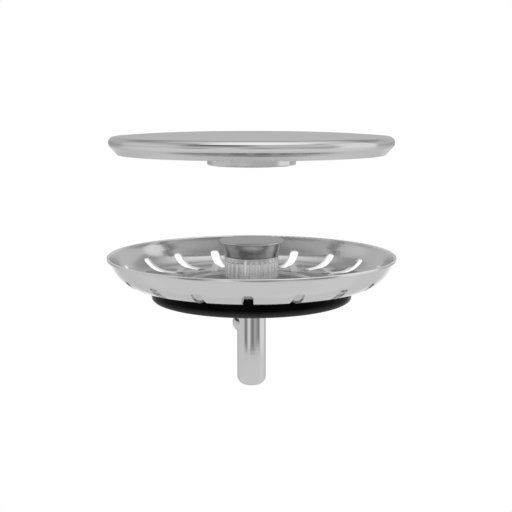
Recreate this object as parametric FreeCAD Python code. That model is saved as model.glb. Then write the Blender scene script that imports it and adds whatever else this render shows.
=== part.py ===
import FreeCAD, Part
import math
import os

os.makedirs("parts", exist_ok=True)
V = FreeCAD.Vector

# Frame: the plug's axis is Z, Z = 0 is the seal's underside, the detent ball points along -X.

# Sheet metal of the basket and the cover
SHEET = 0.6
EDGE_ROUND = 0.25

# Basket rim and wall, outside sizes
RIM_R = 39.0
RIM_TOP = 12.0
LIP_H = 0.85
RIM_INNER_ROUND = 0.7
RIM_FLARE_R = 4.5
RIM_FLARE_LEAN = 42.0
FLOOR_R = 29.4
WALL_ARC_R = 8.8
WALL_LEAN = 27.0

# Basket floor: outer ring, and the pressed-down seat under the knob
FLOOR_TOP = 4.65
SEAT_STEP = 0.45
SEAT_R = 17.0
STEP_ARC_R = 0.8

# Drain slots
SLOT_COUNT = 18
SLOT_W = 2.75
SLOT_INNER_W = 2.5
SLOT_INNER_R = 22.6
SLOT_INNER_ROUND = 0.3
SLOT_WIDE_R = 31.0
SLOT_TURN = 36.8
SLOT_TOP_ROUND = 1.0
SLOT_PHASE = 10.0

# Seal under the floor
SEAL_R = 27.2
SEAL_LOWER_ROUND = 0.9
SEAL_UPPER_ROUND = 0.3
SEAL_STEP_GAP = 0.5

# Backing washer, let into the seal's underside
WASHER_R = 10.0
WASHER_T = 1.2
WASHER_GAP = 0.3

# Stem and the stud that clamps the stack to the knob
STEM_R = 4.0
STEM_LENGTH = 24.25
STEM_END_ROUND = 2.3
STUD_R = 2.45
STUD_TOP = 11.0
STUD_CHAMFER = 0.4
HOLE_GAP = 0.3
THREAD_GAP = 0.05
STUD_END_GAP = 0.4

# Ball detent
BALL_R = 2.5
BALL_Z = -6.95
BALL_OUT = 2.74
BORE_GAP = 0.05
BORE_BACK = 2.9
LIP_START = 3.0
LIP_END = 4.2
LIP_R = 2.2
WIRE_R = 0.2
COIL_R = 1.9
COIL_TURNS = 4.0
COIL_GAP = 0.02

# Knob
KNOB_TOP = 16.0
HEAD_R = 8.87
HEAD_ROUND = 0.3
HEAD_T = 0.75
NECK_TOP_R = 8.1
NECK_HOLLOW = 0.1
LEDGE_Z = 11.75
LEDGE_ROUND = 0.35
SKIRT_R = 7.33
SKIRT_ROUND = 0.4
FLUTE_COUNT = 30
FLUTE_R = 0.6
FLUTE_DEPTH = 0.28
FLUTE_TOP = 10.2

# Cover, outside sizes
COVER_TOP = 44.8
COVER_FLAT_R = 13.0
COVER_DOME_R = 300.0
COVER_R = 37.95
COVER_EDGE_R = 1.6
COVER_TUCK = 47.0
COVER_TUCK_LEN = 0.6
COVER_FLARE_R = 5.0
COVER_LOW_TUCK = 39.0
COVER_LOW = 39.17

# Collar under the cover
COLLAR_R = 11.9
COLLAR_BORE_R = 9.2
COLLAR_LOW = 36.2
COLLAR_ROUND = 0.4


def point(r, z):
    return V(r, 0, z)


def on_arc(centre, radius, angle):
    """Point of a circle in the section plane, angle in degrees from +r towards +z."""
    a = math.radians(angle)
    return point(centre[0] + radius * math.cos(a), centre[1] + radius * math.sin(a))


class Section:
    """Closed half section in the r-z plane, drawn edge by edge and turned about Z."""

    def __init__(self, start):
        self.first = start
        self.last = start
        self.edges = []

    def line(self, end):
        if self.last.distanceToPoint(end) > 1e-6:
            self.edges.append(Part.makeLine(self.last, end))
            self.last = end
        return self

    def arc(self, centre, radius, a0, a1):
        start = on_arc(centre, radius, a0)
        self.line(start)
        middle = on_arc(centre, radius, (a0 + a1) / 2)
        end = on_arc(centre, radius, a1)
        self.edges.append(Part.Arc(start, middle, end).toShape())
        self.last = end
        return self

    def solid(self):
        self.line(self.first)
        face = Part.Face(Part.Wire(self.edges))
        return face.revolve(V(0, 0, 0), V(0, 0, 1), 360)


def disc(radius, z0, z1):
    return Part.makeCylinder(radius, z1 - z0, V(0, 0, z0))


def save(shape, node):
    shape = shape.removeSplitter()
    if len(shape.Solids) == 1:
        shape = shape.Solids[0]
    shape.exportStep("parts/" + node + ".step")


# Heights that follow from the sizes above
floor_under = FLOOR_TOP - SHEET
seat_top = FLOOR_TOP - SEAT_STEP
seat_under = seat_top - SHEET
hole_r = STUD_R + HOLE_GAP
step_turn = math.degrees(math.acos(1 - SEAT_STEP / (2 * STEP_ARC_R)))
step_half = STEP_ARC_R * math.sin(math.radians(step_turn))


def step_down(section, top):
    """S-curve of the pressed seat, from the floor ring inwards and down by SEAT_STEP."""
    section.arc((SEAT_R + step_half, top - STEP_ARC_R), STEP_ARC_R, 90, 90 + step_turn)
    low = (SEAT_R - step_half, top - SEAT_STEP + STEP_ARC_R)
    section.arc(low, STEP_ARC_R, step_turn - 90, -90)


def step_up(section, under):
    """The same S-curve on the underside, from the seat outwards and up."""
    low = (SEAT_R - step_half, under - SEAT_STEP + STEP_ARC_R)
    section.arc(low, STEP_ARC_R, -90, step_turn - 90)
    section.arc((SEAT_R + step_half, under - STEP_ARC_R), STEP_ARC_R, 90 + step_turn, 90)


# Strainer basket: lipped and flared rim, leaning wall rolled into a slotted floor with a pressed seat
lean = math.radians(WALL_LEAN)
floor_c = (FLOOR_R, floor_under + WALL_ARC_R)
wall_out = on_arc(floor_c, WALL_ARC_R, -WALL_LEAN)
wall_in = on_arc(floor_c, WALL_ARC_R - SHEET, -WALL_LEAN)


def up_wall(start, z):
    """Point of the straight wall above start, at height z."""
    return point(start.x + (z - start.z) * math.tan(lean), z)


lip_under = RIM_TOP - LIP_H
flare_lean = math.radians(RIM_FLARE_LEAN)
rim_low = RIM_TOP - RIM_INNER_ROUND
flare_z = rim_low + (RIM_INNER_ROUND - RIM_FLARE_R) * math.sin(flare_lean)
flare_foot = up_wall(wall_in, flare_z + RIM_FLARE_R * math.sin(lean))
rim_flare_c = (flare_foot.x + RIM_FLARE_R * math.cos(lean), flare_z)
rim_c = (rim_flare_c[0] + (RIM_INNER_ROUND - RIM_FLARE_R) * math.cos(flare_lean), rim_low)

basket = Section(point(hole_r, seat_under))
step_up(basket, floor_under)
basket.arc(floor_c, WALL_ARC_R, -90, -WALL_LEAN)
basket.line(up_wall(wall_out, lip_under))
basket.arc((RIM_R - EDGE_ROUND, lip_under + EDGE_ROUND), EDGE_ROUND, -90, 0)
basket.arc((RIM_R - EDGE_ROUND, RIM_TOP - EDGE_ROUND), EDGE_ROUND, 0, 90)
basket.arc(rim_c, RIM_INNER_ROUND, 90, 180 - RIM_FLARE_LEAN)
basket.arc(rim_flare_c, RIM_FLARE_R, 180 - RIM_FLARE_LEAN, 180 - WALL_LEAN)
basket.arc(floor_c, WALL_ARC_R - SHEET, -WALL_LEAN, -90)
step_down(basket, FLOOR_TOP)
basket.line(point(hole_r, seat_top))
basket = basket.solid()


def outline(corners, rounds):
    """Closed wire through flat corners, each one rounded by its own radius."""
    edges = []
    ends = []
    for i, corner in enumerate(corners):
        before = (corners[i - 1] - corner).normalize()
        after = (corners[(i + 1) % len(corners)] - corner).normalize()
        half = before.getAngle(after) / 2
        back = rounds[i] / math.tan(half)
        middle = (before + after).normalize() * (rounds[i] / math.sin(half) - rounds[i])
        ends.append((corner + before * back, corner + middle, corner + after * back))
    for i, (start, middle, end) in enumerate(ends):
        if rounds[i] > 0:
            edges.append(Part.Arc(start, middle, end).toShape())
        edges.append(Part.makeLine(end, ends[(i + 1) % len(ends)][0]))
    return Part.Wire(edges)


# One slot: a tapered cut through floor and bend, its upper end pierced square to the wall
slot_turn = math.radians(SLOT_TURN)
slot_top = on_arc(floor_c, WALL_ARC_R, -SLOT_TURN)
slot_low = seat_under - 1
slot_high = slot_top.z - SLOT_TOP_ROUND * math.cos(slot_turn)
half_in = SLOT_INNER_W / 2
half_out = SLOT_W / 2
plan = [V(SLOT_INNER_R, half_in, slot_low), V(SLOT_INNER_R, -half_in, slot_low),
        V(SLOT_WIDE_R, -half_out, slot_low), V(RIM_R, -half_out, slot_low),
        V(RIM_R, half_out, slot_low), V(SLOT_WIDE_R, half_out, slot_low)]
plan_round = [SLOT_INNER_ROUND, SLOT_INNER_ROUND, 0, 0, 0, 0]
slot = Part.Face(outline(plan, plan_round)).extrude(V(0, 0, slot_high - slot_low))

pierce = V(math.cos(slot_turn), 0, -math.sin(slot_turn))
up = V(math.sin(slot_turn), 0, math.cos(slot_turn))
across = V(0, half_out, 0)
pierce_from = slot_top - pierce * (3 * SHEET)
pierce_low = pierce_from - up * (3 * SLOT_TOP_ROUND)
head = [pierce_from + across, pierce_from - across, pierce_low - across, pierce_low + across]
head_round = [SLOT_TOP_ROUND, SLOT_TOP_ROUND, 0, 0]
slot_head = Part.Face(outline(head, head_round)).extrude(pierce * (6 * SHEET))
slot = slot.fuse(slot_head).removeSplitter()
slots = []
for i in range(SLOT_COUNT):
    one = slot.copy()
    one.rotate(V(0, 0, 0), V(0, 0, 1), SLOT_PHASE + i * 360.0 / SLOT_COUNT)
    slots.append(one)
basket = basket.cut(slots)
save(basket, "strainer_basket")

# Seal: rubber disc, stepped on top for the pressed seat and let in below for the washer
recess_r = WASHER_R + WASHER_GAP
seal_step_r = SEAT_R + step_half + SEAL_STEP_GAP
seal = Section(point(hole_r, WASHER_T))
seal.line(point(recess_r, WASHER_T))
seal.line(point(recess_r, 0))
seal.arc((SEAL_R - SEAL_LOWER_ROUND, SEAL_LOWER_ROUND), SEAL_LOWER_ROUND, -90, 0)
seal.arc((SEAL_R - SEAL_UPPER_ROUND, floor_under - SEAL_UPPER_ROUND), SEAL_UPPER_ROUND, 0, 90)
seal.line(point(seal_step_r, floor_under))
seal.line(point(seal_step_r, seat_under))
seal.line(point(hole_r, seat_under))
save(seal.solid(), "seal")

# Backing washer that spreads the stem's clamp over the seal
washer = disc(WASHER_R, 0, WASHER_T).cut(disc(hole_r, 0, WASHER_T))
save(washer, "seal_washer")

# Stem: round-ended pin with a stud above its shoulder
stem = Section(point(0, -STEM_LENGTH))
stem.arc((STEM_R - STEM_END_ROUND, STEM_END_ROUND - STEM_LENGTH), STEM_END_ROUND, -90, 0)
stem.line(point(STEM_R, 0))
stem.line(point(STUD_R, 0))
stem.line(point(STUD_R, STUD_TOP - STUD_CHAMFER))
stem.line(point(STUD_R - STUD_CHAMFER, STUD_TOP))
stem.line(point(0, STUD_TOP))
stem = stem.solid()

# Blind cross bore, its mouth closed in round the ball
bore_r = BALL_R + BORE_GAP
toward_mouth = V(-1, 0, 0)
bore = Part.makeCylinder(bore_r, BORE_BACK + LIP_START, V(BORE_BACK, 0, BALL_Z), toward_mouth)
mouth_at = V(-LIP_START, 0, BALL_Z)
mouth = Part.makeCone(bore_r, LIP_R, LIP_END - LIP_START, mouth_at, toward_mouth)
stem = stem.cut(bore.fuse(mouth))
save(stem, "stem")

# Detent ball
ball = Part.makeSphere(BALL_R, V(-BALL_OUT, 0, BALL_Z))
save(ball, "detent_ball")

# Detent spring between the ball's back and the end of the bore
ball_reach = BALL_R + WIRE_R + COIL_GAP
coil_front = BALL_OUT - math.sqrt(ball_reach ** 2 - COIL_R ** 2)
coil_back = BORE_BACK - WIRE_R - COIL_GAP
coil_length = coil_front + coil_back
helix = Part.makeHelix(coil_length / COIL_TURNS, coil_length, COIL_R)
wire_start = Part.Circle(V(COIL_R, 0, 0), V(0, 1, 0), WIRE_R)
section = Part.Wire(wire_start.toShape())
spring = Part.Wire(helix).makePipeShell([section], True, True)
spring.rotate(V(0, 0, 0), V(0, 1, 0), 90)
spring.translate(V(-coil_front, 0, BALL_Z))
save(spring, "detent_spring")

# Knob: flat head with a thin edge, tapered neck and fluted skirt, with a blind hole for the stud
knob = Section(point(STUD_R + THREAD_GAP, seat_top))
knob.arc((SKIRT_R - SKIRT_ROUND, seat_top + SKIRT_ROUND), SKIRT_ROUND, -90, 0)
knob.line(point(SKIRT_R, LEDGE_Z - LEDGE_ROUND))
knob.arc((SKIRT_R - LEDGE_ROUND, LEDGE_Z - LEDGE_ROUND), LEDGE_ROUND, 0, 90)
neck_top = point(NECK_TOP_R, KNOB_TOP - HEAD_T)
flare = neck_top - knob.last
hollow = V(flare.z, 0, -flare.x).normalize() * NECK_HOLLOW
neck_mid = knob.last + flare * 0.5 - hollow
knob.edges.append(Part.Arc(knob.last, neck_mid, neck_top).toShape())
knob.last = neck_top
head_c = (HEAD_R - HEAD_ROUND, KNOB_TOP - HEAD_ROUND)
knob.arc(head_c, HEAD_ROUND, -60, 90)
knob.line(point(0, KNOB_TOP))
knob.line(point(0, STUD_TOP + STUD_END_GAP))
knob.line(point(STUD_R + THREAD_GAP, STUD_TOP + STUD_END_GAP))
knob = knob.solid()
flute_at = SKIRT_R + FLUTE_R - FLUTE_DEPTH
flute_low = seat_top - 1
flute = Part.makeCylinder(FLUTE_R, FLUTE_TOP - flute_low, V(flute_at, 0, flute_low))
flute = flute.fuse(Part.makeSphere(FLUTE_R, V(flute_at, 0, FLUTE_TOP))).removeSplitter()
flutes = []
for i in range(FLUTE_COUNT):
    one = flute.copy()
    one.rotate(V(0, 0, 0), V(0, 0, 1), i * 360.0 / FLUTE_COUNT)
    flutes.append(one)
knob = knob.cut(flutes)
save(knob, "knob")

# Cover: shallow domed plate with a rounded edge and a tucked-in skirt that eases towards its foot
dome_c = (COVER_FLAT_R, COVER_TOP - COVER_DOME_R)
edge_r = COVER_R - COVER_EDGE_R
edge_reach = COVER_DOME_R - COVER_EDGE_R
edge_c = (edge_r, dome_c[1] + math.sqrt(edge_reach ** 2 - (edge_r - COVER_FLAT_R) ** 2))
edge_angle = math.degrees(math.atan2(edge_c[1] - dome_c[1], edge_c[0] - dome_c[0]))
tuck = math.radians(COVER_TUCK)
tuck_start = on_arc(edge_c, COVER_EDGE_R, -COVER_TUCK)
flare_at = tuck_start - point(math.sin(tuck), math.cos(tuck)) * COVER_TUCK_LEN
flare_at = flare_at + point(math.cos(tuck), -math.sin(tuck)) * COVER_FLARE_R
flare_c = (flare_at.x, flare_at.z)
flare_from = 180 - COVER_TUCK
flare_to = 180 - COVER_LOW_TUCK
flare_end = on_arc(flare_c, COVER_FLARE_R, flare_to)
low = math.radians(COVER_LOW_TUCK)
low_len = (flare_end.z - COVER_LOW) / math.cos(low)
skirt_out = flare_end - point(math.sin(low), math.cos(low)) * low_len
skirt_in = skirt_out + point(-SHEET * math.cos(low), SHEET * math.sin(low))

cover = Section(point(0, COVER_TOP - SHEET))
cover.line(point(COVER_FLAT_R, COVER_TOP - SHEET))
cover.arc(dome_c, COVER_DOME_R - SHEET, 90, edge_angle)
cover.arc(edge_c, COVER_EDGE_R - SHEET, edge_angle, -COVER_TUCK)
cover.arc(flare_c, COVER_FLARE_R + SHEET, flare_from, flare_to)
cover.line(skirt_in)
cover.line(skirt_out)
cover.arc(flare_c, COVER_FLARE_R, flare_to, flare_from)
cover.arc(edge_c, COVER_EDGE_R, -COVER_TUCK, edge_angle)
cover.arc(dome_c, COVER_DOME_R, edge_angle, 90)
cover.line(point(0, COVER_TOP))
save(cover.solid(), "cover_plate")

# Collar that drops over the knob's head
collar_top = COVER_TOP - SHEET
collar = Section(point(COLLAR_BORE_R, collar_top))
collar.arc((COLLAR_BORE_R + COLLAR_ROUND, COLLAR_LOW + COLLAR_ROUND), COLLAR_ROUND, 180, 270)
collar.arc((COLLAR_R - COLLAR_ROUND, COLLAR_LOW + COLLAR_ROUND), COLLAR_ROUND, -90, 0)
collar.line(point(COLLAR_R, collar_top))
save(collar.solid(), "cover_collar")
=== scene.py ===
import math

import bpy
import numpy as np
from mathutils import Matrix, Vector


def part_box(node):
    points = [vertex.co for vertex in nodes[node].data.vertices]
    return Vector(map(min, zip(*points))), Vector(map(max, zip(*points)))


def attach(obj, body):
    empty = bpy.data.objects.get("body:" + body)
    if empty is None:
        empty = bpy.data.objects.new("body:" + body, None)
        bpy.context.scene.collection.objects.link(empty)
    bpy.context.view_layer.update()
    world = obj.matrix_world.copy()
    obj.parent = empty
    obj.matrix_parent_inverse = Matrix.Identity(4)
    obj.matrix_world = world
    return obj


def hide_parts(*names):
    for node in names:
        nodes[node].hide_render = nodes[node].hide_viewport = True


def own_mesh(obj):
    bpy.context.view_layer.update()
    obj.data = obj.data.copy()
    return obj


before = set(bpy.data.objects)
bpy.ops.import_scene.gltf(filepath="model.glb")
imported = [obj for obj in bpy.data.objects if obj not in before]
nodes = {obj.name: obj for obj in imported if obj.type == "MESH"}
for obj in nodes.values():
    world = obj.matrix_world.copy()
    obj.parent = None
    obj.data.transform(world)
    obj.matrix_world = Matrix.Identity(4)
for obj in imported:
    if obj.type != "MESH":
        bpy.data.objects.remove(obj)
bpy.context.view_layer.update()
scene = bpy.context.scene

# Camera: its place about the plug's axis in metres and degrees, its picture in pixels
CAMERA_DISTANCE = 0.2618
CAMERA_HEIGHT = 0.0521
CAMERA_TURN = 1.53
CAMERA_PITCH = 8.817
CAMERA_NEAREST = 0.005
PICTURE_PX = 512
FOCAL_PX = 974.7
AXIS_LEFT_PX = 4.45
SENSOR_MM = 36.0

# How often light is followed from one polished face to the next
LIGHT_BOUNCES = 16
MIRROR_BOUNCES = 14

# Grey of the polished steel
STEEL_SHINE = 0.62

# Studio walls: degrees of elevation, each with the grey, 0 to 255, that polished steel shows of it
FRONT_LEFT_WALL = [
    (-90, 194), (-14.9, 193), (-14, 172), (6, 178), (43, 66), (48, 130), (54, 236), (90, 237)]
FRONT_RIGHT_WALL = [
    (-90, 194), (-14.9, 193), (-14, 172), (8, 166), (25, 192), (35, 178), (43, 154), (48, 180),
    (54, 238), (90, 238)]
BACK_LEFT_WALL = [
    (-90, 190), (-20, 186), (0, 149), (10, 174), (25, 170), (37, 138), (43, 138), (58, 187), (90, 235)]
BACK_RIGHT_WALL = [
    (-90, 192), (-20, 191), (0, 160), (10, 179), (22, 177), (28, 150), (35, 139), (41, 150),
    (54, 198), (90, 235)]
LEFT_WALL = [
    (-90, 194), (-20, 194), (2, 178), (12, 196), (46, 160), (58, 168), (90, 235)]
RIGHT_WALL = [
    (-90, 197), (-14.6, 198), (-13.8, 212), (30, 209), (44, 188), (62, 208), (90, 238)]

# Where the walls pass into each other: degrees of bearing from the camera, or shares of a direction
FRONT_SPLIT_BEARING = (-12, 14)
BACK_SPLIT_RIGHT = (0.05, 0.35)
BACK_TO_FRONT = (-0.35, 0.35)
LEFT_SIDE_BEARING = (46, 68, 112, 130)
RIGHT_SIDE_BEARING = (66, 82, 112, 122)

# Low screens in front: degrees of bearing with their greys, and with how far each foot is raised
SCREENS = [
    (-180, 165), (-70, 172), (-52, 118), (-38, 116), (-30, 175), (-18, 212), (-2, 142), (8, 116),
    (14, 118), (28, 166), (54, 124), (64, 128), (74, 190), (180, 165)]
SCREEN_FEET = [
    (-180, 0.3), (-58, 0.5), (-50, 0.45), (-36, 0.2), (-20, 0.3), (-3, -0.1), (12, 0.2), (28, -0.15),
    (44, 0.55), (62, 0.55), (80, 0.3), (180, 0.3)]
SCREENS_ELEVATION = (-14.9, -14.1, -9.0, -5.0)

# White backdrop that the steel mirrors: nearness to straight behind the plug, degrees of elevation
BACKDROP_BEHIND = (0.88, 0.94)
BACKDROP_ELEVATION = (-34, -28, -10, -6)

# Floor, well below the hanging plug: its sizes, then its noises as scale per metre and detail
FLOOR_Z = -0.2
FLOOR_R = 0.3
FLOOR_STEPS = 96
FLOOR_CLOUD = (12.0, 4.0)
FLOOR_FIBRE = (900.0, 3.0)
FLOOR_GREY = (0.86, 0.02)
FLOOR_ROUGH = (0.8, 0.05)
FLOOR_RELIEF = (0.1, 0.0002)

# Detent spring: a fixed coil, though the real one shortens as the ball is pressed in
SPRING_WIRE_R = 0.0002
SPRING_TURNS = 4
STEPS_PER_TURN = 48
STEPS_ROUND_WIRE = 14

# Worked steel: polishing rings per metre, and noises as scale per metre and detail
RINGS_PER_METRE = 2600.0
RING_NOISE = (1.0, 3.0)
RING_RELIEF_HEIGHT = 0.0002
RING_GLOSS_SHARE = 0.3
SMUDGE_GLOSS_SHARE = 0.7
SMUDGE_NOISE = (140.0, 3.0)
CLOUD_NOISE = (60.0, 4.0)
AXIS_R = 0.0005
EDGE_TINT = 0.9

# Finish of each steel piece: tone and roughness with their swings, depth of the polishing rings
BASKET_FINISH = dict(grey=STEEL_SHINE, grey_swing=0.012, rough=0.11, gloss_swing=0.04, ring_depth=0.012)
COVER_FINISH = dict(grey=STEEL_SHINE, grey_swing=0.01, rough=0.03, gloss_swing=0.012, ring_depth=0.008,
                    edge_tint=0.8)
COLLAR_FINISH = dict(grey=STEEL_SHINE, grey_swing=0.01, rough=0.12, gloss_swing=0.03, ring_depth=0.015)
KNOB_FINISH = dict(grey=0.56, grey_swing=0.015, rough=0.16, gloss_swing=0.04, ring_depth=0.002,
                   edge_tint=0.67)
STEM_FINISH = dict(grey=STEEL_SHINE, grey_swing=0.01, rough=0.03, gloss_swing=0.01, ring_depth=0.004)
BALL_FINISH = dict(grey=STEEL_SHINE, grey_swing=0.01, rough=0.2, gloss_swing=0.03, ring_depth=0.005)
SPRING_FINISH = dict(grey=0.6, grey_swing=0.02, rough=0.25, gloss_swing=0.05, ring_depth=0.03)
WASHER_FINISH = dict(grey=0.66, grey_swing=0.03, rough=0.3, gloss_swing=0.06, ring_depth=0.05)

# Basket: a painted highlight on its rim, and the cut faces at the sides, foot and head of its slots,
# rougher and painted pale as a highlight
RIM_EDGE_R = (0.0379, 0.0384)
RIM_FACING_UP = (0.1, 0.5)
RIM_HIGHLIGHT_GREY = 0.86
SLOT_SIDE_Z = (0.0048, 0.0062)
SLOT_SIDE_FACING = (0.4, 0.7)
SLOT_FOOT_Z = 0.00466
SLOT_FOOT_FACING = (0.6, 0.8)
SLOT_HEAD_R = 0.0354
SLOT_HEAD_LOW = 0.0070
SLOT_HEAD_HIGH = 0.0083
SLOT_HEAD_LEAN = math.radians(52)
SLOT_HEAD_FACING = (0.7, 0.9)
CUT_GRAIN = (300.0, 1.0)
CUT_HIGHLIGHT_GREY = (0.96, 0.03)
CUT_SIDE_ROUGH = 0.45
CUT_FOOT_ROUGH = 0.8
CUT_ROUGH_SWING = 0.08

# Cover: its duller skirt, and its satin inside, which is paler towards the edge
COVER_SKIRT_Z = (0.0412, 0.0420)
COVER_SKIRT_ROUGH = 0.24
COVER_INSIDE_FACING_UP = 0.1
COVER_INSIDE_OUTWARD = 0.002
COVER_INSIDE_ROUGH = 0.45
COVER_INSIDE_R = (0.026, 0.034)
COVER_INSIDE_GREY = (0.84, 0.98)

# Knob: its satin skirt, a painted highlight at the edge of its head, and painted shade low on its neck
KNOB_SKIRT_TOP_Z = (0.01135, 0.01165)
KNOB_EDGE_Z = (0.01525, 0.01540, 0.01560, 0.01575)
KNOB_EDGE_R = 0.0085
KNOB_GRAIN = (150.0, 2.0)
KNOB_SATIN_AND_EDGE_HIGHLIGHT_GREY = (0.88, 0.02)
KNOB_SATIN_ROUGH = (0.16, 0.03)
KNOB_NECK_SHADE_Z = (0.0128, 0.0144)
KNOB_NECK_SHADE_GREY = 0.42

# Seal: black rubber with a painted highlight on its lower edge and a dull top
SEAL_SHEEN = 0.03
SEAL_DUST = (180.0, 5.0)
SEAL_GRAIN = (2200.0, 2.0)
SEAL_RELIEF = (0.12, 0.0001)
SEAL_EDGE_Z = (0.0002, 0.0020)
SEAL_GREY = 0.0012
SEAL_GREY_SWING = 0.001
SEAL_EDGE_HIGHLIGHT_GREY = 0.055
SEAL_EDGE_HIGHLIGHT_GREY_SWING = 0.01
SEAL_TOP_FACING_UP = (0.5, 0.9)
SEAL_ROUGH = 0.2
SEAL_TOP_ROUGH = 0.85
SEAL_ROUGH_SWING = 0.08


def add_camera():
    """Camera in front of the plug, turned a little about its axis and tipped down."""
    turn = math.radians(CAMERA_TURN)
    data = bpy.data.cameras.new("photo_camera")
    data.sensor_width = SENSOR_MM
    data.lens = FOCAL_PX / PICTURE_PX * SENSOR_MM
    data.shift_x = AXIS_LEFT_PX / PICTURE_PX
    data.clip_start = CAMERA_NEAREST
    camera = bpy.data.objects.new("photo_camera", data)
    camera.location = (CAMERA_DISTANCE * math.sin(turn), -CAMERA_DISTANCE * math.cos(turn), CAMERA_HEIGHT)
    camera.rotation_euler = (math.radians(90 - CAMERA_PITCH), 0, turn)
    scene.collection.objects.link(camera)
    scene.camera = camera


def radiance(grey):
    """Light that polished steel shows as this grey, 0 to 255, on the standard screen curve."""
    value = grey / 255
    return ((value + 0.055) / 1.055) ** 2.4 / STEEL_SHINE


class Nodes:
    """Short way of adding nodes to one tree: a number sets a socket, a socket is linked to it."""

    def __init__(self, tree):
        self.tree = tree

    def add(self, kind, settings=None, **sockets):
        """New node with its settings and its inputs; an underscore in an input's name is a space."""
        node = self.tree.nodes.new(kind)
        for name, value in (settings or {}).items():
            setattr(node, name, value)
        for name, value in sockets.items():
            self.give(node.inputs[name.replace("_", " ")], value)
        return node

    def give(self, socket, value):
        """Link the socket to a value that is a socket, or set it to one that isn't."""
        if isinstance(value, bpy.types.NodeSocket):
            self.tree.links.new(value, socket)
        else:
            socket.default_value = value

    def math(self, operation, *values):
        """Result of one operation."""
        node = self.add("ShaderNodeMath", {"operation": operation})
        for socket, value in zip(node.inputs, values):
            self.give(socket, value)
        return node.outputs[0]

    def times(self, first, *others):
        """Product of all the values."""
        product = first
        for value in others:
            product = self.math("MULTIPLY", product, value)
        return product

    def rest(self, share):
        """What a share leaves of one."""
        return self.math("SUBTRACT", 1.0, share)

    def place(self):
        """Place on the piece, in metres."""
        return self.add("ShaderNodeTexCoord").outputs["Object"]

    def facing(self):
        """Way that the surface faces."""
        return self.add("ShaderNodeTexCoord").outputs["Normal"]

    def split(self, vector):
        """The three numbers of a vector."""
        return self.add("ShaderNodeSeparateXYZ", Vector=vector).outputs

    def radius(self, x, y):
        """Distance from the plug's axis."""
        return self.math("SQRT", self.math("ADD", self.times(x, x), self.times(y, y)))

    def noise(self, place, scale, detail):
        """Noise from 0 to 1 about 0.5."""
        return self.add("ShaderNodeTexNoise", Vector=place, Scale=scale, Detail=detail).outputs["Fac"]

    def smooth(self, value, low, high):
        """None below low, one above high, and an even curve between them."""
        settings = {"interpolation_type": "SMOOTHSTEP"}
        node = self.add("ShaderNodeMapRange", settings, Value=value, From_Min=low, From_Max=high)
        return node.outputs["Result"]

    def window(self, value, rise_from, rise_to, fall_from, fall_to):
        """One between rise and fall, none outside them."""
        rise = self.smooth(value, rise_from, rise_to)
        return self.times(rise, self.rest(self.smooth(value, fall_from, fall_to)))

    def swing(self, value, middle, reach):
        """Value from 0 to 1 about 0.5, carried to middle plus or minus reach."""
        offset = self.math("SUBTRACT", value, 0.5)
        return self.math("MULTIPLY_ADD", offset, self.times(reach, 2.0), middle)

    def mix(self, share, first, second):
        """Number between first and second by share."""
        return self.math("MULTIPLY_ADD", share, self.math("SUBTRACT", second, first), first)

    def grey(self, level):
        """Colour with the same level of red, green and blue."""
        return self.add("ShaderNodeCombineColor", Red=level, Green=level, Blue=level).outputs["Color"]

    def blend(self, share, first, second):
        """Colour between first and second by share."""
        node = self.add("ShaderNodeMix", {"data_type": "RGBA"})
        for index, value in ((0, share), (6, first), (7, second)):
            self.give(node.inputs[index], value)
        return node.outputs[2]

    def relief(self, height, strength, distance):
        """Normal of a fine relief."""
        node = self.add("ShaderNodeBump", Strength=strength, Distance=distance, Height=height)
        return node.outputs["Normal"]


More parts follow.
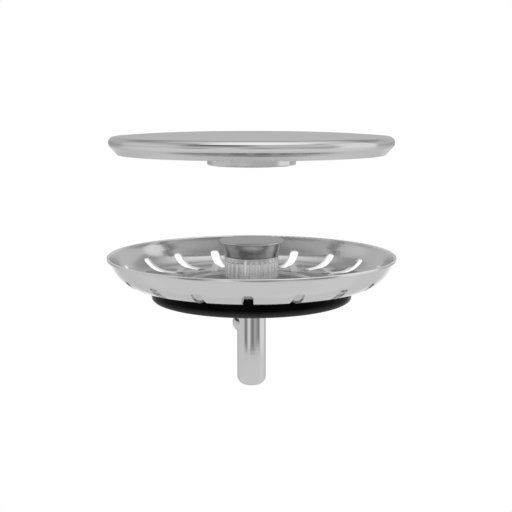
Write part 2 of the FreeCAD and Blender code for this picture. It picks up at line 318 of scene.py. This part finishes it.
def add_world():
    """White for the camera, and a soft studio room that lights the plug and that its steel mirrors.

    The room has a pale floor, low screens in front, walls and a bright ceiling. A patch of white
    backdrop straight behind the plug is mirrored too.
    """
    world = bpy.data.worlds.new("studio")
    scene.world = world
    world.use_nodes = True
    world.node_tree.nodes.clear()
    n = Nodes(world.node_tree)
    direction = n.add("ShaderNodeTexCoord").outputs["Generated"]
    right, away, up = n.split(direction)
    elevation = n.math("DEGREES", n.math("ARCSINE", up))
    bearing = n.math("DEGREES", n.math("ARCTAN2", right, n.times(away, -1.0)))
    frontness = n.math("COSINE", n.math("RADIANS", bearing))

    def ramp(value, stops):
        """Levels along the degrees of value, from stops of (degrees, level)."""
        lowest = stops[0][0]
        span = stops[-1][0] - lowest
        share = n.math("DIVIDE", n.math("SUBTRACT", value, lowest), span)
        node = n.add("ShaderNodeValToRGB", Fac=share)
        while len(node.color_ramp.elements) < len(stops):
            node.color_ramp.elements.new(0.5)
        for element, (degrees, level) in zip(node.color_ramp.elements, stops):
            element.position = (degrees - lowest) / span
            element.color = (level, level, level, 1)
        return node.outputs["Color"]

    def lit(stops):
        """Stops of grey as stops of light."""
        return [(degrees, radiance(grey)) for degrees, grey in stops]

    def wall(stops):
        """Light of a wall by elevation."""
        return ramp(elevation, lit(stops))

    front_right = n.smooth(bearing, *FRONT_SPLIT_BEARING)
    front = n.blend(front_right, wall(FRONT_LEFT_WALL), wall(FRONT_RIGHT_WALL))
    above_feet = n.math("SUBTRACT", elevation, ramp(bearing, SCREEN_FEET))
    screens = n.window(above_feet, *SCREENS_ELEVATION)
    front = n.blend(screens, front, ramp(bearing, lit(SCREENS)))
    back_right = n.smooth(right, *BACK_SPLIT_RIGHT)
    back = n.blend(back_right, wall(BACK_LEFT_WALL), wall(BACK_RIGHT_WALL))
    room_light = n.blend(n.smooth(frontness, *BACK_TO_FRONT), back, front)
    left_side = n.window(n.times(bearing, -1.0), *LEFT_SIDE_BEARING)
    room_light = n.blend(left_side, room_light, wall(LEFT_WALL))
    right_side = n.window(bearing, *RIGHT_SIDE_BEARING)
    room_light = n.blend(right_side, room_light, wall(RIGHT_WALL))

    behind = n.smooth(n.times(frontness, -1.0), *BACKDROP_BEHIND)
    backdrop = n.times(behind, n.window(elevation, *BACKDROP_ELEVATION))
    path = n.add("ShaderNodeLightPath").outputs
    mirrored = n.times(n.math("MAXIMUM", path["Is Glossy Ray"], path["Is Transmission Ray"]), backdrop)
    white_share = n.math("MAXIMUM", path["Is Camera Ray"], mirrored)
    room = n.add("ShaderNodeBackground", Color=room_light, Strength=1.0)
    white = n.add("ShaderNodeBackground", Color=(1, 1, 1, 1), Strength=1.0)
    shown = n.add("ShaderNodeMixShader", Fac=white_share)
    n.give(shown.inputs[1], room.outputs[0])
    n.give(shown.inputs[2], white.outputs[0])
    n.add("ShaderNodeOutputWorld", Surface=shown.outputs[0])


def new_piece(name, points, faces):
    """Mesh object of an array of points and a list of faces."""
    mesh = bpy.data.meshes.new(name)
    mesh.from_pydata(points.tolist(), [], faces)
    mesh.update()
    piece = bpy.data.objects.new(name, mesh)
    scene.collection.objects.link(piece)
    return piece


def add_floor():
    """Flat round floor: one face on a ring of points, at the floor's radius by the sine and cosine."""
    turn = np.linspace(0, 2 * np.pi, FLOOR_STEPS, endpoint=False)
    height = np.full(FLOOR_STEPS, FLOOR_Z)
    ring = np.stack([FLOOR_R * np.cos(turn), FLOOR_R * np.sin(turn), height], 1)
    floor = new_piece("floor", ring, [tuple(range(FLOOR_STEPS))])
    floor.data.materials.append(floor_paper())
    floor.visible_glossy = False


def add_spring():
    """Detent spring: round wire carried along a helix about the ball's way in, its ends closed.

    The wire's middle is at (x, r sin a, -r cos a) from the bore's axis, with the turn a growing evenly
    along x. Round it lies a ring of the wire's radius, across the helix's own direction.
    """
    low, high = (np.array(corner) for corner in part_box("detent_spring"))
    coil_r = (high[1] - low[1]) / 2 - SPRING_WIRE_R
    share = np.linspace(0, 1, SPRING_TURNS * STEPS_PER_TURN + 1)
    start = low[0] + SPRING_WIRE_R
    length = high[0] - SPRING_WIRE_R - start
    full_turn = 2 * np.pi * SPRING_TURNS
    a = full_turn * share
    outward = np.stack([np.zeros_like(a), np.sin(a), -np.cos(a)], 1)
    middle = coil_r * outward + (low + high) / 2
    middle[:, 0] = start + length * share
    way_round = full_turn * coil_r
    along = np.stack([np.full_like(a, length), way_round * np.cos(a), way_round * np.sin(a)], 1)
    along /= np.linalg.norm(along, axis=1, keepdims=True)
    across = np.cross(along, outward)
    b = np.linspace(0, 2 * np.pi, STEPS_ROUND_WIRE, endpoint=False)[:, None]
    ring = np.cos(b) * outward[:, None] + np.sin(b) * across[:, None]
    points = (middle[:, None] + SPRING_WIRE_R * ring).reshape(-1, 3)
    i, j = np.meshgrid(np.arange(len(a) - 1), np.arange(STEPS_ROUND_WIRE), indexing="ij")
    here = i * STEPS_ROUND_WIRE + j
    beside = i * STEPS_ROUND_WIRE + (j + 1) % STEPS_ROUND_WIRE
    sides = np.stack([here, beside, beside + STEPS_ROUND_WIRE, here + STEPS_ROUND_WIRE], -1)
    front_end = list(range(STEPS_ROUND_WIRE))[::-1]
    back_end = list(range(len(points) - STEPS_ROUND_WIRE, len(points)))
    faces = sides.reshape(-1, 4).tolist() + [front_end, back_end]
    spring = new_piece("detent_spring_coil", points, faces)
    spring.data.shade_smooth()
    spring.data.materials.append(plain_steel("spring_wire_drawn", SPRING_FINISH))
    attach(spring, "plug")
    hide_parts("detent_spring")
    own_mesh(spring)


def new_group(name, inputs, outputs):
    """Shader node group with named sockets; returns it, its nodes, what it is given, what it puts out."""
    group = bpy.data.node_groups.new(name, "ShaderNodeTree")
    for socket in inputs:
        group.interface.new_socket(socket, in_out="INPUT", socket_type="NodeSocketFloat")
    for socket, kind in outputs:
        group.interface.new_socket(socket, in_out="OUTPUT", socket_type="NodeSocket" + kind)
    n = Nodes(group)
    given = n.add("NodeGroupInput").outputs
    put_out = n.add("NodeGroupOutput").inputs
    return group, n, given, put_out


def steel_finish_group():
    """Worked steel about the plug's axis: cloudy tone, smudged gloss, ring-shaped polishing lines.

    The rings are noise read at (radius, height), drifting a little with the bearing.
    """
    inputs = ("Grey", "Grey Swing", "Roughness", "Gloss Swing", "Ring Depth")
    outputs = (("Color", "Color"), ("Roughness", "Float"), ("Normal", "Vector"))
    group, n, given, put_out = new_group("steel_finish", inputs, outputs)
    place = n.place()
    x, y, z = n.split(place)
    radius = n.radius(x, y)
    off_axis = n.math("MAXIMUM", radius, AXIS_R)
    across = n.math("DIVIDE", x, off_axis)
    along = n.math("DIVIDE", y, off_axis)
    ring_place = n.add(
        "ShaderNodeCombineXYZ",
        X=n.math("MULTIPLY_ADD", radius, RINGS_PER_METRE, across),
        Y=n.math("MULTIPLY_ADD", z, RINGS_PER_METRE, along),
        Z=n.math("ADD", across, along))
    rings = n.noise(ring_place.outputs[0], *RING_NOISE)
    smudge = n.times(n.noise(place, *SMUDGE_NOISE), SMUDGE_GLOSS_SHARE)
    wear = n.math("MULTIPLY_ADD", rings, RING_GLOSS_SHARE, smudge)
    tone = n.swing(n.noise(place, *CLOUD_NOISE), given["Grey"], given["Grey Swing"])
    n.give(put_out["Color"], n.grey(tone))
    n.give(put_out["Roughness"], n.swing(wear, given["Roughness"], given["Gloss Swing"]))
    n.give(put_out["Normal"], n.relief(rings, given["Ring Depth"], RING_RELIEF_HEIGHT))
    return group


def new_material(name):
    """Material with its nodes and its shader."""
    material = bpy.data.materials.new(name)
    material.use_nodes = True
    n = Nodes(material.node_tree)
    return material, n, material.node_tree.nodes["Principled BSDF"]


def steel(name, grey, grey_swing, rough, gloss_swing, ring_depth, edge_tint=EDGE_TINT):
    """Steel with the shared finish at its own values; returns material, nodes, finish and shader."""
    material, n, shader = new_material(name)
    shader.inputs["Metallic"].default_value = 1.0
    shader.inputs["Specular Tint"].default_value = (edge_tint, edge_tint, edge_tint, 1)
    finish = n.add(
        "ShaderNodeGroup", {"node_tree": steel_finish}, Grey=grey, Grey_Swing=grey_swing,
        Roughness=rough, Gloss_Swing=gloss_swing, Ring_Depth=ring_depth)
    n.give(shader.inputs["Base Color"], finish.outputs["Color"])
    n.give(shader.inputs["Roughness"], finish.outputs["Roughness"])
    n.give(shader.inputs["Normal"], finish.outputs["Normal"])
    return material, n, finish, shader


def plain_steel(name, finish):
    """Steel with nothing but the shared finish."""
    return steel(name, **finish)[0]


def basket_steel():
    """Pressed sheet with a painted highlight on its rim, and cut slot edges that are rougher and painted
    bright as a highlight.

    A cut face looks along the round at a slot's sides, straight out or in at its foot, and along
    the slope of the wall at its head.
    """
    material, n, finish, shader = steel("basket_sheet_polished", **BASKET_FINISH)
    place = n.place()
    x, y, z = n.split(place)
    facing_x, facing_y, facing_up = n.split(n.facing())
    radius = n.radius(x, y)
    out_x = n.math("DIVIDE", x, radius)
    out_y = n.math("DIVIDE", y, radius)
    outward = n.math("ADD", n.times(facing_x, out_x), n.times(facing_y, out_y))
    round_way = n.math("SUBTRACT", n.times(facing_y, out_x), n.times(facing_x, out_y))
    rise = n.times(facing_up, math.sin(SLOT_HEAD_LEAN))
    up_slope = n.math("MULTIPLY_ADD", outward, math.cos(SLOT_HEAD_LEAN), rise)

    looks_round = n.smooth(n.math("ABSOLUTE", round_way), *SLOT_SIDE_FACING)
    side = n.times(looks_round, n.rest(n.smooth(z, *SLOT_SIDE_Z)))
    looks_out = n.smooth(n.math("ABSOLUTE", outward), *SLOT_FOOT_FACING)
    foot = n.times(n.math("LESS_THAN", z, SLOT_FOOT_Z), looks_out)
    looks_up_slope = n.smooth(n.math("ABSOLUTE", up_slope), *SLOT_HEAD_FACING)
    far_out = n.math("GREATER_THAN", radius, SLOT_HEAD_R)
    above = n.math("GREATER_THAN", z, SLOT_HEAD_LOW)
    below = n.math("LESS_THAN", z, SLOT_HEAD_HIGH)
    head = n.times(far_out, above, below, looks_up_slope)
    cut = n.math("MAXIMUM", side, n.math("MAXIMUM", foot, head))

    grain = n.noise(place, *CUT_GRAIN)
    # Painted highlight: the cut faces are made nearly white; their grain and rougher finish are real.
    cut_highlight_tone = n.grey(n.swing(grain, *CUT_HIGHLIGHT_GREY))
    cut_rough = n.swing(grain, n.mix(foot, CUT_SIDE_ROUGH, CUT_FOOT_ROUGH), CUT_ROUGH_SWING)
    # Painted highlight: the outer round of the rim, where it faces up, is made paler than the sheet.
    painted_highlight = n.times(n.smooth(radius, *RIM_EDGE_R), n.smooth(facing_up, *RIM_FACING_UP))
    n.give(finish.inputs["Grey"], n.mix(painted_highlight, BASKET_FINISH["grey"], RIM_HIGHLIGHT_GREY))
    n.give(shader.inputs["Base Color"], n.blend(cut, finish.outputs["Color"], cut_highlight_tone))
    n.give(shader.inputs["Roughness"], n.mix(cut, finish.outputs["Roughness"], cut_rough))
    return material


def cover_steel():
    """Mirror-polished dome, duller at its tucked-in skirt and satin inside.

    The inside is where the sheet faces neither up nor away from the axis.
    """
    material, n, finish, _ = steel("cover_sheet_polished", **COVER_FINISH)
    x, y, z = n.split(n.place())
    facing_x, facing_y, facing_up = n.split(n.facing())
    outward = n.math("MULTIPLY_ADD", facing_x, x, n.times(facing_y, y))
    not_up = n.math("LESS_THAN", facing_up, COVER_INSIDE_FACING_UP)
    inside = n.times(not_up, n.math("LESS_THAN", outward, COVER_INSIDE_OUTWARD))
    outside_rough = n.mix(n.smooth(z, *COVER_SKIRT_Z), COVER_SKIRT_ROUGH, COVER_FINISH["rough"])
    inside_grey = n.mix(n.smooth(n.radius(x, y), *COVER_INSIDE_R), *COVER_INSIDE_GREY)
    n.give(finish.inputs["Roughness"], n.mix(inside, outside_rough, COVER_INSIDE_ROUGH))
    n.give(finish.inputs["Grey"], n.mix(inside, COVER_FINISH["grey"], inside_grey))
    return material


def knob_chrome():
    """Bright plated head and neck on a satin fluted skirt, with a painted highlight at the head's edge
    and painted shade low on the neck, by height and by distance from the axis.
    """
    material, n, finish, shader = steel("knob_chrome_plate", **KNOB_FINISH)
    place = n.place()
    x, y, z = n.split(place)
    skirt = n.rest(n.smooth(z, *KNOB_SKIRT_TOP_Z))
    # Painted highlight: a band round the edge of the head takes the paler satin tone, as the skirt does.
    edge = n.times(n.window(z, *KNOB_EDGE_Z), n.math("GREATER_THAN", n.radius(x, y), KNOB_EDGE_R))
    satin_and_edge_highlight = n.math("MAXIMUM", skirt, edge)
    # Painted shade: the neck is made darker low down, under the head.
    neck_shade = n.rest(n.smooth(z, *KNOB_NECK_SHADE_Z))
    grain = n.noise(place, *KNOB_GRAIN)
    satin_and_highlight_tone = n.grey(n.swing(grain, *KNOB_SATIN_AND_EDGE_HIGHLIGHT_GREY))
    satin_rough = n.swing(grain, *KNOB_SATIN_ROUGH)
    n.give(finish.inputs["Grey"], n.mix(neck_shade, KNOB_FINISH["grey"], KNOB_NECK_SHADE_GREY))
    n.give(shader.inputs["Base Color"], n.blend(satin_and_edge_highlight, finish.outputs["Color"], satin_and_highlight_tone))
    n.give(shader.inputs["Roughness"], n.mix(satin_and_edge_highlight, finish.outputs["Roughness"], satin_rough))
    return material


def seal_rubber():
    """Moulded black rubber: faint dust in the tone, fine grain in the surface, a painted highlight on the
    lower edge.
    """
    material, n, shader = new_material("seal_rubber_moulded")
    shader.inputs["Specular IOR Level"].default_value = SEAL_SHEEN
    place = n.place()
    dust = n.noise(place, *SEAL_DUST)
    # Painted highlight: the lower edge is made paler than the black rubber.
    painted_highlight = n.rest(n.smooth(n.split(place)["Z"], *SEAL_EDGE_Z))
    top = n.smooth(n.split(n.facing())["Z"], *SEAL_TOP_FACING_UP)
    grey = n.mix(painted_highlight, SEAL_GREY, SEAL_EDGE_HIGHLIGHT_GREY)
    grey_swing = n.mix(painted_highlight, SEAL_GREY_SWING, SEAL_EDGE_HIGHLIGHT_GREY_SWING)
    rough = n.swing(dust, n.mix(top, SEAL_ROUGH, SEAL_TOP_ROUGH), SEAL_ROUGH_SWING)
    n.give(shader.inputs["Base Color"], n.grey(n.swing(dust, grey, grey_swing)))
    n.give(shader.inputs["Roughness"], rough)
    n.give(shader.inputs["Normal"], n.relief(n.noise(place, *SEAL_GRAIN), *SEAL_RELIEF))
    return material


def floor_paper():
    """Pale floor paper: faint cloud in the tone, fine fibre in the surface."""
    material, n, shader = new_material("floor_paper")
    place = n.place()
    fibre = n.noise(place, *FLOOR_FIBRE)
    n.give(shader.inputs["Base Color"], n.grey(n.swing(n.noise(place, *FLOOR_CLOUD), *FLOOR_GREY)))
    n.give(shader.inputs["Roughness"], n.swing(fibre, *FLOOR_ROUGH))
    n.give(shader.inputs["Normal"], n.relief(fibre, *FLOOR_RELIEF))
    return material


def dress(node, material):
    """Give a CAD node its material."""
    for slot in nodes[node].material_slots:
        slot.material = material


add_camera()
add_world()
add_floor()

steel_finish = steel_finish_group()
dress("strainer_basket", basket_steel())
dress("cover_plate", cover_steel())
dress("cover_collar", plain_steel("collar_steel_turned", COLLAR_FINISH))
dress("knob", knob_chrome())
dress("stem", plain_steel("stem_steel_turned", STEM_FINISH))
dress("detent_ball", plain_steel("ball_steel_ground", BALL_FINISH))
add_spring()
dress("seal_washer", plain_steel("washer_steel_plain", WASHER_FINISH))
dress("seal", seal_rubber())

scene.view_settings.view_transform = "Standard"
scene.cycles.max_bounces = LIGHT_BOUNCES
scene.cycles.glossy_bounces = MIRROR_BOUNCES
